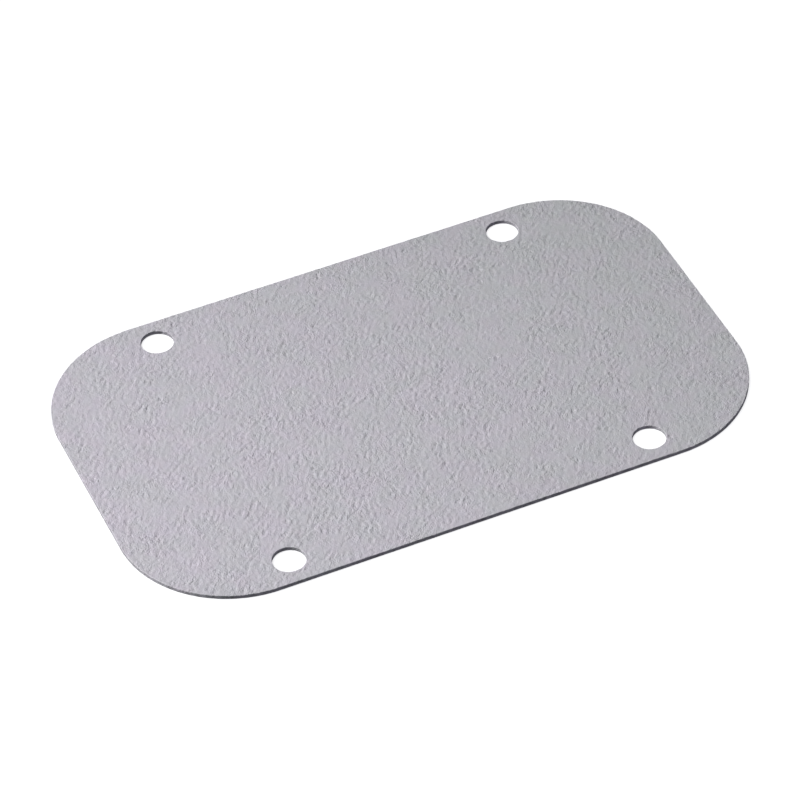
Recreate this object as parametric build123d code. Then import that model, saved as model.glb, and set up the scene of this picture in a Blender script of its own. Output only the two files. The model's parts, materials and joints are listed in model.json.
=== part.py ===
from build123d import *
import os

# Flat sheet-metal cover plate, one piece: a rectangular blank with four large
# tangent corner arcs and four round clearance holes, two along each long edge.
# Both faces are flat and parallel.  The outline and the hole rims are softened
# on the front by the rolled-over side of the cut and by the textured coat, and
# less so on the back.
#
# Frame: origin at the centre of the back face, +X along the long side, +Y along
# the short side, +Z out of the textured front face.  The plate lies flat on its
# back.  Millimetres.

# --- driving dimensions --------------------------------------------------------
length = 140.0          # long side, along X
width = 86.0            # short side, along Y
thickness = 1.0         # sheet and coat together, along Z
corner_radius = 25.0    # all four corners of the outline
hole_dia = 7.0          # clearance for an M6 screw
hole_spacing_x = 81.0   # between hole centres along the long side
hole_spacing_y = 73.0   # between hole centres along the short side
front_edge_radius = 0.15   # rounded rim of the front face, outline and holes
back_edge_radius = 0.10    # rim of the back face, outline and holes

# --- derived -------------------------------------------------------------------
hole_margin = (width - hole_spacing_y) / 2.0 - hole_dia / 2.0   # metal left outside a hole

# --- blank: outline with tangent corner arcs, holes cut through -----------------
with BuildPart() as plate:
    with BuildSketch(Plane.XY):
        RectangleRounded(length, width, corner_radius)
        with GridLocations(hole_spacing_x, hole_spacing_y, 2, 2):
            Circle(hole_dia / 2.0, mode=Mode.SUBTRACT)
    extrude(amount=thickness)

    # softened rims: every edge that bounds the front face, then the back face
    front = plate.faces().sort_by(Axis.Z)[-1]
    fillet(front.edges(), radius=front_edge_radius)
    back = plate.faces().sort_by(Axis.Z)[0]
    fillet(back.edges(), radius=back_edge_radius)

cover_plate = plate.part.solids()[0]
cover_plate.label = "cover_plate"

os.makedirs("parts", exist_ok=True)
export_step(cover_plate, "parts/cover_plate.step")

box = cover_plate.bounding_box()
print("cover_plate size", box.size, "volume mm3", round(cover_plate.volume, 1))
print("metal outside each hole mm", hole_margin)
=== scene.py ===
import json
import math

import bpy
import numpy as np
from mathutils import Matrix, Vector
from mathutils.geometry import delaunay_2d_cdt


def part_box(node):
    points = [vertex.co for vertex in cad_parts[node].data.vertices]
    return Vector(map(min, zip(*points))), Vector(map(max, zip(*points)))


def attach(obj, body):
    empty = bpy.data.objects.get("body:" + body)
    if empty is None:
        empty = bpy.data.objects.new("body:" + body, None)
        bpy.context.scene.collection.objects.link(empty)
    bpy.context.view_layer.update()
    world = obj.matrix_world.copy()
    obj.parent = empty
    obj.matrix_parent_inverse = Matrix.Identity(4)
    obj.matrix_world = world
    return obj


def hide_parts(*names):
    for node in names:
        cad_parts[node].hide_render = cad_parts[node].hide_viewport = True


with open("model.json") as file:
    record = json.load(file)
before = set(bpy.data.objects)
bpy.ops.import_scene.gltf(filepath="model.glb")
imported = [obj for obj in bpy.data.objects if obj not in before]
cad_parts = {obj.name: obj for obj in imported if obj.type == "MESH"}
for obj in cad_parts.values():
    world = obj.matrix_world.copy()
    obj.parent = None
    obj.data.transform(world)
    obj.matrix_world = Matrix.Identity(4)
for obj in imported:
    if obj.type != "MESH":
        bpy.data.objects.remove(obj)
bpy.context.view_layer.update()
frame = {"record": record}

# ---------------------------------------------------------------------------
# The plate, from the frame: its box and its bolt pattern. Millimetres here,
# metres in the meshes.
# ---------------------------------------------------------------------------
lo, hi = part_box("cover_plate")
LENGTH, WIDTH, THICK = [(hi[i] - lo[i]) * 1000.0 for i in range(3)]
MID = Vector(((lo.x + hi.x) / 2, (lo.y + hi.y) / 2, lo.z))
pattern = next(m for m in frame["record"]["mounts"] if m["kind"] == "bolt_pattern")
HOLE_R = pattern["dims"]["hole_r_mm"]
HOLES = [
    (sx * pattern["dims"]["spacing_x_mm"] / 2, sy * pattern["dims"]["spacing_y_mm"] / 2)
    for sx, sy in ((-1, 1), (1, 1), (1, -1), (-1, -1))
]
CORNER_R = 25.0
FRONT_R = 0.15      # rounded rim of the front face
BACK_R = 0.10       # rim of the back face
STEP = 0.42         # spacing of the front face's mesh
RIM_STEP = 0.42     # spacing along the outline
BACK_STEP = 1.6     # spacing of the back face's mesh

FINE_SCALE, FINE_HEIGHT = 3.15, 0.155       # the finest grain: bumps per mm, height factor in mm
CREASE_SCALE, CREASE_HEIGHT = 1.60, 0.055   # its creases

KEY_AZ, KEY_EL, KEY_DISTANCE, KEY_SIZE = 154.0, 40.0, 0.69, 0.20
KEY_SPREAD, KEY_AIM, KEY_POWER = 38.0, (-0.061, -0.025, 0.0), 0.2026
BROAD = 2.19        # a second, far light behind the key, which evens it out
FILL = 0.145        # light from all round
FLOOR_SUN, FLOOR_GLOW = 0.75, 0.78

rng = np.random.default_rng(20417)


# ---------------------------------------------------------------------------
# The coat's relief: a periodic random height, built from how steep it is at
# each frequency (cycles per mm)
# ---------------------------------------------------------------------------
class Field:
    """A smooth random height over a periodic rectangle, scaled to unit slope or unit spread."""

    def __init__(self, seed, sx, sy, step, table, by_slope=True, lean=1.0):
        self.sx, self.sy = sx, sy
        nx, ny = int(round(sx / step)), int(round(sy / step))
        noise = np.random.default_rng(seed).standard_normal((ny, nx))
        kx = np.fft.fftfreq(nx, sx / nx)[None, :]
        ky = np.fft.fftfreq(ny, sy / ny)[:, None]
        k = np.hypot(kx, ky)
        k[0, 0] = 1.0
        turn = np.cos(2 * (np.arctan2(ky, kx) - LEAN_AZ))
        f, level = np.array(table).T
        steep = np.exp(np.interp(np.log(k), np.log(f), np.log(level)))
        amp = steep / k**1.5 * (1.0 + (lean - 1.0) * turn * np.clip(k / 0.75, 0.0, 1.0) ** 2)
        amp[0, 0] = 0.0
        h = np.fft.fft2(noise) * amp
        slope = np.real(np.fft.ifft2(h * 2j * np.pi * kx))
        h = np.real(np.fft.ifft2(h))
        self.h = (h - h.mean()) / (slope.std() if by_slope else h.std())

    def at(self, x, y):
        ny, nx = self.h.shape
        u = (np.asarray(x) / self.sx * nx) % nx
        v = (np.asarray(y) / self.sy * ny) % ny
        i, j = np.floor(u).astype(int), np.floor(v).astype(int)
        a, b = u - i, v - j
        i, j = i % nx, j % ny
        i2, j2 = (i + 1) % nx, (j + 1) % ny
        h = self.h
        return (h[j, i] * (1 - a) + h[j, i2] * a) * (1 - b) + (
            h[j2, i] * (1 - a) + h[j2, i2] * a
        ) * b


GRAIN = (
    (0.03, 0.05), (0.10, 0.35), (0.175, 0.9), (0.325, 2.5), (0.475, 5.2), (0.625, 7.2),
    (0.775, 8.6), (0.90, 8.6), (1.02, 7.6), (1.15, 4.0), (1.30, 0.1), (9.0, 0.0001),
)
PATCH = ((0.01, 0.1), (0.05, 0.5), (0.10, 1.0), (0.20, 2.0), (0.35, 2.6), (0.55, 1.2), (0.8, 0.1), (9.0, 0.0001))
LEAN, LEAN_AZ = 1.35, math.radians(138.0)  # the grain is a little longer across this direction
UNEVEN = 0.26
STEEP = 0.101       # spread of the relief's slope along one axis
FLAT_AT = 0.055     # how far the mean surface lies under the front plane, mm
grain = Field(11, 168.0, 112.0, 0.1, GRAIN, lean=LEAN)
patches = Field(13, 168.0, 112.0, 0.4, PATCH, by_slope=False)
GRAIN_SPREAD = grain.h.std()


def strength(x, y):
    """How strong the grain is there: about 1, less in calm patches."""
    return np.clip(1.0 + UNEVEN * patches.at(x, y), 0.22, 2.1)


def relief(x, y):
    """Depth below the front plane in mm, 0 at the highest peaks."""
    g = grain.at(x, y)
    g = g * (0.85 + 0.04 * (g / GRAIN_SPREAD) ** 2)   # calm ground, steeper tops and pits
    return np.clip(FLAT_AT - STEEP * g * strength(x, y), 0.0, 0.150)


# ---------------------------------------------------------------------------
# Outline and hole rims as rows of points, each with its outward direction
# ---------------------------------------------------------------------------
def outline(step):
    """Points on the outline, anticlockwise, evenly spaced, with outward normals and arc length."""
    a, b = LENGTH / 2 - CORNER_R, WIDTH / 2 - CORNER_R
    pts, nrm = [], []
    corners = ((a, b, 0), (-a, b, 90), (-a, -b, 180), (a, -b, 270))
    for k, (cx, cy, start) in enumerate(corners):
        n = int(round(CORNER_R * math.pi / 2 / step))
        for i in range(n + 1):
            t = math.radians(start + 90.0 * i / n)
            pts.append((cx + CORNER_R * math.cos(t), cy + CORNER_R * math.sin(t)))
            nrm.append((math.cos(t), math.sin(t)))
        nx_, ny_, _ = corners[(k + 1) % 4]
        t = math.radians(start + 90.0)
        p0 = np.array(pts[-1])
        p1 = np.array((nx_ + CORNER_R * math.cos(t), ny_ + CORNER_R * math.sin(t)))
        m = int(round(np.linalg.norm(p1 - p0) / step))
        for i in range(1, m):
            q = p0 + (p1 - p0) * i / m
            pts.append(tuple(q))
            nrm.append((math.cos(t), math.sin(t)))
    pts, nrm = np.array(pts), np.array(nrm)
    s = np.r_[0, np.cumsum(np.linalg.norm(np.diff(pts, axis=0), axis=1))]
    return pts, nrm, s


def circle(cx, cy, n):
    """Points round a hole, clockwise, with normals that point out of the metal, into the hole."""
    t = -np.arange(n) * 2 * np.pi / n
    d = np.c_[np.cos(t), np.sin(t)]
    return np.array((cx, cy)) + HOLE_R * d, -d, HOLE_R * np.abs(t)


loops = [outline(RIM_STEP)] + [circle(x, y, 72) for x, y in HOLES]


def inside(p, inset):
    """True where a point is in the metal, at least inset from the outline and the holes."""
    q = np.abs(p) - np.array((LENGTH / 2 - CORNER_R, WIDTH / 2 - CORNER_R))
    d = np.hypot(np.maximum(q[:, 0], 0), np.maximum(q[:, 1], 0)) + np.minimum(q.max(1), 0)
    ok = d < CORNER_R - inset
    for x, y in HOLES:
        ok &= np.hypot(p[:, 0] - x, p[:, 1] - y) > HOLE_R + inset
    return ok


def face_points(step, inset, jitter):
    """A jittered triangular grid inside the metal."""
    rows = np.arange(-WIDTH / 2, WIDTH / 2, step * math.sqrt(3) / 2)
    cols = np.arange(-LENGTH / 2, LENGTH / 2, step)
    x, y = np.meshgrid(cols, rows)
    x = x + (np.arange(len(rows)) % 2)[:, None] * step / 2
    p = np.c_[x.ravel(), y.ravel()]
    p += rng.uniform(-jitter, jitter, p.shape) * step
    return p[inside(p, inset)]


verts = []                 # the whole mesh
rim_at = []                # for each rim vertex: its loop, its place along it and round the rim, mm
around = []                # each loop's length
count = 0


def add(points):
    global count
    verts.append(points)
    start = count
    count += len(points)
    return start


# Rows from the front rim round to the back rim. Each is (inset, height, depth share, normal tilt).
rows = []
for k in range(5):
    t = math.radians(22.5 * k)
    rows.append((FRONT_R * (1 - math.sin(t)), THICK - FRONT_R * (1 - math.cos(t)), math.cos(t), math.sin(t)))
for z in np.linspace(THICK - FRONT_R, BACK_R, 6)[1:-1]:
    rows.append((0.0, float(z), 0.0, 1.0))
for k in range(4):
    t = math.radians(30.0 * k)
    rows.append((BACK_R * (1 - math.cos(t)), BACK_R * (1 - math.sin(t)), -math.sin(t), math.cos(t)))

turned = np.r_[0, np.cumsum([math.hypot(b[0] - a[0], b[1] - a[1]) for a, b in zip(rows, rows[1:])])]

quads = []
front_ring, back_ring = [], []
for which, (pts, nrm, s) in enumerate(loops):
    starts = []
    around.append(s[-1] + np.linalg.norm(pts[0] - pts[-1]))
    for (inset, z, up, out), h in zip(rows, turned):
        rim_at.append(np.c_[np.full(len(pts), which), s, np.full(len(pts), h)])
        base = pts - nrm * inset
        d = relief(base[:, 0] + 0.7 * (THICK - z), base[:, 1] + 0.9 * (THICK - z))
        d = d * (1.0 if up > 0.99 else max(0.0, 0.35 + 0.65 * up)) if up >= 0 else d * 0.2
        p = np.c_[base - nrm * (d * out)[:, None], z - d * up]
        if up < 0:
            p[:, 2] = np.maximum(p[:, 2], 0.0)
        starts.append(add(p))
    n = len(pts)
    i = np.arange(n)
    j = (i + 1) % n
    for a, b in zip(starts, starts[1:]):
        quads.append(np.c_[a + i, b + i, b + j, a + j])
    front_ring.append((starts[0], n))
    back_ring.append((starts[-1], n))


def fill(ring, inset, step, jitter, height, flip):
    """Triangulates a flat face between its rims and gives the inner points their height."""
    rim = np.concatenate([loop[0] - loop[1] * inset for loop in loops])
    ids = np.concatenate([np.arange(a, a + n) for a, n in ring])
    inner = face_points(step, inset + step * 0.62, jitter)
    edges, at = [], 0
    for _, n in ring:
        edges += [(at + k, at + (k + 1) % n) for k in range(n)]
        at += n
    both = np.concatenate([rim, inner])
    got = delaunay_2d_cdt([Vector(p) for p in both.tolist()], edges, [], 0, 1e-7, True)
    out = np.array([tuple(v) for v in got[0]])
    origin = [o[0] if o else -1 for o in got[3]]
    if -1 in origin or len(out) != len(both):
        raise RuntimeError("the face's triangulation moved or added a point")
    first = add(np.c_[inner, height(inner[:, 0], inner[:, 1])])
    names = np.concatenate([ids, first + np.arange(len(inner))])
    tri = np.array(got[2])
    where = out[tri].mean(1)
    tri = tri[inside(where, inset * 0.999)]
    tri = names[np.array(origin)[tri]]
    return tri[:, ::-1] if flip else tri


front_points = [count]
front = fill(front_ring, FRONT_R, STEP, 0.16, lambda x, y: THICK - relief(x, y), False)
front_points.append(count)
back = fill(back_ring, BACK_R, BACK_STEP, 0.1, lambda x, y: np.zeros_like(x), True)

co = np.concatenate(verts) / 1000.0 + np.array(MID)
quads = np.concatenate(quads)
mesh = bpy.data.meshes.new("cover_plate_coated")
mesh.from_pydata(co.tolist(), [], quads.tolist() + front.tolist() + back.tolist())
mesh.update()
mesh.validate()
plate = bpy.data.objects.new("cover_plate_coated", mesh)
bpy.context.scene.collection.objects.link(plate)
mesh.shade_smooth()

import bmesh
bm = bmesh.new()
bm.from_mesh(mesh)
bmesh.ops.recalc_face_normals(bm, faces=bm.faces)
open_edges = sum(1 for e in bm.edges if not e.is_manifold)
print("plate mesh: faces", len(bm.faces), "triangles", sum(len(f.verts) - 2 for f in bm.faces), "open edges", open_edges, "volume mm3", round(bm.calc_volume() * 1e9, 1))
bm.to_mesh(mesh)
bm.free()

# A map for baking: the front face at the largest scale that fits,
# the back face at half of it, and the rims as straight strips.
if len(mesh.polygons) != len(quads) + len(front) + len(back):
    raise RuntimeError("the mesh lost a face")
PER_MM = 1.0 / 141.5
corner = np.empty(len(mesh.loops), np.int32)
mesh.loops.foreach_get("vertex_index", corner)
place = np.concatenate(verts)[corner, :2] + (70.0, 43.0)
uv = place * PER_MM + 0.004
ends = np.cumsum([4 * len(quads), 3 * len(front), 3 * len(back)])
back_uv = place[ends[1]:] * 0.48 * PER_MM
uv[ends[1]:] = np.c_[0.484 - back_uv[:, 0], 0.625 + back_uv[:, 1]]
rim_at = np.concatenate(rim_at)
rim = rim_at[corner[:ends[0]]].reshape(-1, 4, 3)
which, along_rim, round_rim = rim[:, 0, 0].astype(int), rim[:, :, 1], rim[:, :, 2]
length = np.array(around)[which][:, None]
crosses = (along_rim.max(1) - along_rim.min(1))[:, None] > length / 2
along_rim = np.where(crosses & (along_rim < length / 2), along_rim + length, along_rim)
quarter = np.where(which == 0, np.minimum(along_rim.min(1) // (around[0] / 4), 3), 0)
along_rim = along_rim - (quarter * around[0] / 4)[:, None]
left = np.where(which == 0, 0.004, 0.53)
low = np.where(which == 0, 0.935 + 0.0155 * quarter, 0.64 + 0.0155 * which)
uv[:ends[0]] = np.stack([left[:, None] + along_rim * PER_MM, low[:, None] + round_rim * PER_MM], -1).reshape(-1, 2)
mesh.uv_layers.new(name="OFBake").data.foreach_set("uv", uv.astype(np.float32).ravel())

# The front face's normals come from the relief itself, because the average of
# each point's faces would soften it.
normal = np.empty(len(mesh.vertices) * 3, np.float32)
mesh.vertices.foreach_get("normal", normal)
normal = normal.reshape(-1, 3)
loose = np.concatenate([np.arange(a, a + n) for a, n in front_ring] + [np.arange(*front_points)])
flat = np.concatenate(verts)[loose]
dx = (relief(flat[:, 0] + 0.05, flat[:, 1]) - relief(flat[:, 0] - 0.05, flat[:, 1])) / 0.1
dy = (relief(flat[:, 0], flat[:, 1] + 0.05) - relief(flat[:, 0], flat[:, 1] - 0.05)) / 0.1
exact = np.c_[dx, dy, np.ones(len(dx))]
normal[loose] = exact / np.linalg.norm(exact, axis=1)[:, None]
mesh.normals_split_custom_set_from_vertices(normal.tolist())

# The material's finest grain is as uneven as the relief, the pits get a little painted shade,
# and the coat on the cut edges is less even than on the faces.
every = np.concatenate(verts)
on_edge = np.zeros(len(every))
on_edge[: len(rim_at)] = np.clip(rim_at[:, 2] / (FRONT_R * 1.2), 0.0, 1.0) * np.clip((turned[-1] - rim_at[:, 2]) / (BACK_R * 1.2), 0.0, 1.0)
for name, values in (
    ("coat_strength", strength(every[:, 0], every[:, 1])),
    # coat_depth: how deep the relief lies there, which sets the painted shade in the pits
    ("coat_depth", (relief(every[:, 0], every[:, 1]) - FLAT_AT) / 0.02),
    ("coat_edge", on_edge),
):
    mesh.attributes.new(name, "FLOAT", "POINT").data.foreach_set("value", values.astype(np.float32))


# ---------------------------------------------------------------------------
# Materials
# ---------------------------------------------------------------------------
def new_material(name):
    m = bpy.data.materials.new(name)
    m.use_nodes = True
    nt = m.node_tree
    nt.nodes.clear()
    return m, nt


def node(nt, kind, **inputs):
    n = nt.nodes.new(kind)
    for key, value in inputs.items():
        n.inputs[key.replace("_", " ")].default_value = value
    return n


def link(nt, a, b):
    nt.links.new(a, b)


def math_node(nt, operation, a, b=None, clamp=False):
    n = nt.nodes.new("ShaderNodeMath")
    n.operation = operation
    n.use_clamp = clamp
    for i, v in enumerate((a, b)):
        if v is None:
            continue
        if isinstance(v, (int, float)):
            n.inputs[i].default_value = v
        else:
            nt.links.new(v, n.inputs[i])
    return n.outputs[0]


def noise(nt, vector, scale, detail, roughness=0.5, offset=(0, 0, 0)):
    if any(offset):
        m = nt.nodes.new("ShaderNodeVectorMath")
        m.operation = "ADD"
        m.inputs[1].default_value = offset
        nt.links.new(vector, m.inputs[0])
        vector = m.outputs[0]
    n = node(nt, "ShaderNodeTexNoise", Scale=scale, Detail=detail, Roughness=roughness)
    nt.links.new(vector, n.inputs["Vector"])
    return n.outputs["Fac"]


def attribute(nt, name):
    n = nt.nodes.new("ShaderNodeAttribute")
    n.attribute_type = "GEOMETRY"
    n.attribute_name = name
    return n.outputs["Fac"]


coat, nt = new_material("textured_coat")
out = node(nt, "ShaderNodeOutputMaterial")
bsdf = nt.nodes.new("ShaderNodeBsdfPrincipled")
bsdf.inputs["IOR"].default_value = 1.45
link(nt, bsdf.outputs[0], out.inputs["Surface"])
coords = nt.nodes.new("ShaderNodeTexCoord")
mm = nt.nodes.new("ShaderNodeVectorMath")
mm.operation = "SCALE"
mm.inputs["Scale"].default_value = 1000.0
link(nt, coords.outputs["Object"], mm.inputs[0])
at = mm.outputs[0]

# colour: broad drift between neutral and lavender grey, and a finer, fainter cloudiness of tone
drift = noise(nt, at, 0.13, 5.0, 0.66)
ramp = nt.nodes.new("ShaderNodeValToRGB")
ramp.color_ramp.elements[0].position = 0.42
ramp.color_ramp.elements[0].color = (0.4937, 0.4910, 0.5100, 1)
ramp.color_ramp.elements[1].position = 0.58
ramp.color_ramp.elements[1].color = (0.5113, 0.4875, 0.5285, 1)
link(nt, drift, ramp.inputs["Fac"])
cloud = noise(nt, at, 0.30, 2.0, 0.55, (31.0, 7.0, 0.0))
tone = nt.nodes.new("ShaderNodeMapRange")
tone.inputs["From Min"].default_value = 0.25
tone.inputs["From Max"].default_value = 0.75
tone.inputs["To Min"].default_value = 0.965
tone.inputs["To Max"].default_value = 1.035
link(nt, cloud, tone.inputs["Value"])
# painted shade: the base colour is up to 1.5% darker where the relief is deepest
painted_pit_shade = nt.nodes.new("ShaderNodeMapRange")
painted_pit_shade.inputs["From Min"].default_value = 0.3
painted_pit_shade.inputs["From Max"].default_value = 3.0
painted_pit_shade.inputs["To Min"].default_value = 1.0
painted_pit_shade.inputs["To Max"].default_value = 0.985
link(nt, attribute(nt, "coat_depth"), painted_pit_shade.inputs["Value"])
warmth = nt.nodes.new("ShaderNodeValToRGB")
warmth.color_ramp.elements[0].position = 0.36
warmth.color_ramp.elements[0].color = (0.993, 1.0, 1.007, 1)
warmth.color_ramp.elements[1].position = 0.64
warmth.color_ramp.elements[1].color = (1.007, 1.0, 0.993, 1)
link(nt, noise(nt, at, 0.42, 4.0, 0.6, (70.0, 21.0, 0.0)), warmth.inputs["Fac"])
tinted = nt.nodes.new("ShaderNodeVectorMath")
tinted.operation = "MULTIPLY"
link(nt, ramp.outputs["Color"], tinted.inputs[0])
link(nt, warmth.outputs["Color"], tinted.inputs[1])
toned = nt.nodes.new("ShaderNodeVectorMath")
toned.operation = "SCALE"
link(nt, tinted.outputs[0], toned.inputs[0])
blotch = math_node(nt, "SUBTRACT", noise(nt, at, 0.9, 3.0, 0.6, (9.0, 9.0, 40.0)), 0.5)
edge = math_node(nt, "ADD", math_node(nt, "MULTIPLY", math_node(nt, "MULTIPLY", blotch, 1.8), attribute(nt, "coat_edge")), 1.0)
level = math_node(nt, "MULTIPLY", math_node(nt, "MULTIPLY", tone.outputs[0], painted_pit_shade.outputs[0]), edge)
link(nt, level, toned.inputs["Scale"])
link(nt, toned.outputs[0], bsdf.inputs["Base Color"])

# gloss: satin, a little uneven
sheen = nt.nodes.new("ShaderNodeMapRange")
sheen.inputs["From Min"].default_value = 0.3
sheen.inputs["From Max"].default_value = 0.7
sheen.inputs["To Min"].default_value = 0.50
sheen.inputs["To Max"].default_value = 0.60
link(nt, noise(nt, at, 0.55, 3.0, 0.6, (5.0, 50.0, 9.0)), sheen.inputs["Value"])
link(nt, sheen.outputs[0], bsdf.inputs["Roughness"])

# the finest grain of the coat: small bumps with creases between them, calmer in some patches
along = nt.nodes.new("ShaderNodeMapping")
along.vector_type = "TEXTURE"
along.inputs["Rotation"].default_value = (0, 0, LEAN_AZ)
along.inputs["Scale"].default_value = (1.0, LEAN, 1.0)
link(nt, at, along.inputs["Vector"])
leaned = along.outputs[0]
small = math_node(nt, "SUBTRACT", noise(nt, leaned, FINE_SCALE, 2.0, 0.5, (3.0, 11.0, 2.0)), 0.5)
crease = math_node(nt, "ABSOLUTE", math_node(nt, "SUBTRACT", noise(nt, leaned, CREASE_SCALE, 1.0, 0.5, (17.0, 3.0, 6.0)), 0.5))
crease = math_node(nt, "SUBTRACT", crease, 0.085)
height = math_node(nt, "ADD", math_node(nt, "MULTIPLY", small, FINE_HEIGHT), math_node(nt, "MULTIPLY", crease, CREASE_HEIGHT))
height = math_node(nt, "MULTIPLY", height, attribute(nt, "coat_strength"))
bump = node(nt, "ShaderNodeBump", Strength=1.0, Distance=0.001)
link(nt, height, bump.inputs["Height"])
link(nt, bump.outputs[0], bsdf.inputs["Normal"])
mesh.materials.append(coat)

floor_mat, nt = new_material("floor_paper")
out = node(nt, "ShaderNodeOutputMaterial")
b = nt.nodes.new("ShaderNodeBsdfPrincipled")
b.inputs["Base Color"].default_value = (0.90, 0.90, 0.90, 1)
b.inputs["Roughness"].default_value = 0.9
b.inputs["Specular IOR Level"].default_value = 0.1
b.inputs["Emission Color"].default_value = (1, 1, 1, 1)
b.inputs["Emission Strength"].default_value = FLOOR_GLOW
link(nt, b.outputs[0], out.inputs["Surface"])

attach(plate, "root")
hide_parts("cover_plate")

# ---------------------------------------------------------------------------
# Floor, lights, camera
# ---------------------------------------------------------------------------
fm = bpy.data.meshes.new("floor")
fm.from_pydata([(-40, -40, 0), (40, -40, 0), (40, 40, 0), (-40, 40, 0)], [], [(0, 1, 2, 3)])
floor = bpy.data.objects.new("floor", fm)
bpy.context.scene.collection.objects.link(floor)
fm.materials.append(floor_mat)
floor.visible_diffuse = floor.visible_glossy = False   # the white surround is seen, but sends no light up into the cut edges

world = bpy.data.worlds.new("studio")
bpy.context.scene.world = world
world.use_nodes = True
nt = world.node_tree
fill = nt.nodes["Background"]
fill.inputs["Color"].default_value = (0.985, 0.985, 1.13, 1)
fill.inputs["Strength"].default_value = FILL
seen = node(nt, "ShaderNodeBackground", Color=(1, 1, 1, 1), Strength=1.0)
which = nt.nodes.new("ShaderNodeMixShader")
link(nt, nt.nodes.new("ShaderNodeLightPath").outputs["Is Camera Ray"], which.inputs["Fac"])
link(nt, fill.outputs[0], which.inputs[1])
link(nt, seen.outputs[0], which.inputs[2])
link(nt, which.outputs[0], nt.nodes["World Output"].inputs["Surface"])


def direction(azimuth, elevation):
    """A unit vector towards a light. Azimuth is from +X, anticlockwise."""
    a, e = math.radians(azimuth), math.radians(elevation)
    return Vector((math.cos(e) * math.cos(a), math.cos(e) * math.sin(a), math.sin(e)))


def lights_only(lamp, names, *objs):
    group = bpy.data.collections.new(names)
    for o in objs:
        group.objects.link(o)
    lamp.light_linking.receiver_collection = group


def add_light(name, kind, towards, distance=1.0, aim=(0, 0, 0)):
    light = bpy.data.lights.new(name, kind)
    ob = bpy.data.objects.new(name, light)
    place = MID + towards * distance
    ob.location = place
    ob.rotation_euler = (place - MID - Vector(aim)).to_track_quat("Z", "Y").to_euler()
    bpy.context.scene.collection.objects.link(ob)
    return ob


key = add_light("key", "AREA", direction(KEY_AZ, KEY_EL), KEY_DISTANCE, KEY_AIM)
key.data.shape = "SQUARE"
key.data.size = KEY_SIZE
key.data.spread = math.radians(KEY_SPREAD)
key.data.energy = KEY_POWER
key.data.color = (0.964, 0.835, 1.0)
lights_only(key, "lit_by_key", plate)

broad = add_light("broad", "SUN", direction(KEY_AZ, KEY_EL))
broad.data.angle = math.radians(16.0)
broad.data.energy = BROAD
broad.data.color = (0.872, 1.0, 0.839)
lights_only(broad, "lit_by_broad", plate)

overhead = add_light("overhead", "SUN", direction(KEY_AZ, 62.0))
overhead.data.angle = math.radians(38.0)
overhead.data.energy = FLOOR_SUN
lights_only(overhead, "lit_by_overhead", floor)

# camera: in front, to the left and above, a long lens
rv = Vector((2.270389921569346, -0.49942964837911724, 0.16015363114885786))
scale_px, persp, tx, ty = 665.9594957771905, 0.150095676468511, -0.00046162677562750306, -0.017024725555635865
CAM_R = Matrix.Rotation(rv.length, 3, rv.normalized())
W = LENGTH / 1000.0
top = Vector((MID.x, MID.y, MID.z + THICK / 1000.0))
cam = bpy.data.cameras.new("camera")
cam.sensor_width = 36.0
cam.lens = (scale_px / persp) / 800.0 * 36.0
cam.clip_start, cam.clip_end = 0.01, 20.0
cam_ob = bpy.data.objects.new("camera", cam)
place = top - CAM_R.transposed() @ (Vector((tx, ty, 1.0 / persp)) * W)
cam_ob.matrix_world = Matrix.Translation(place) @ Matrix((
    (CAM_R[0][0], -CAM_R[1][0], -CAM_R[2][0]),
    (CAM_R[0][1], -CAM_R[1][1], -CAM_R[2][1]),
    (CAM_R[0][2], -CAM_R[1][2], -CAM_R[2][2]),
)).to_4x4()
bpy.context.scene.collection.objects.link(cam_ob)
bpy.context.scene.camera = cam_ob

bpy.context.scene.view_settings.view_transform = "Standard"
bpy.context.scene.view_settings.look = "None"
bpy.context.scene.view_settings.exposure = 0.0
bpy.context.scene.view_settings.gamma = 1.0
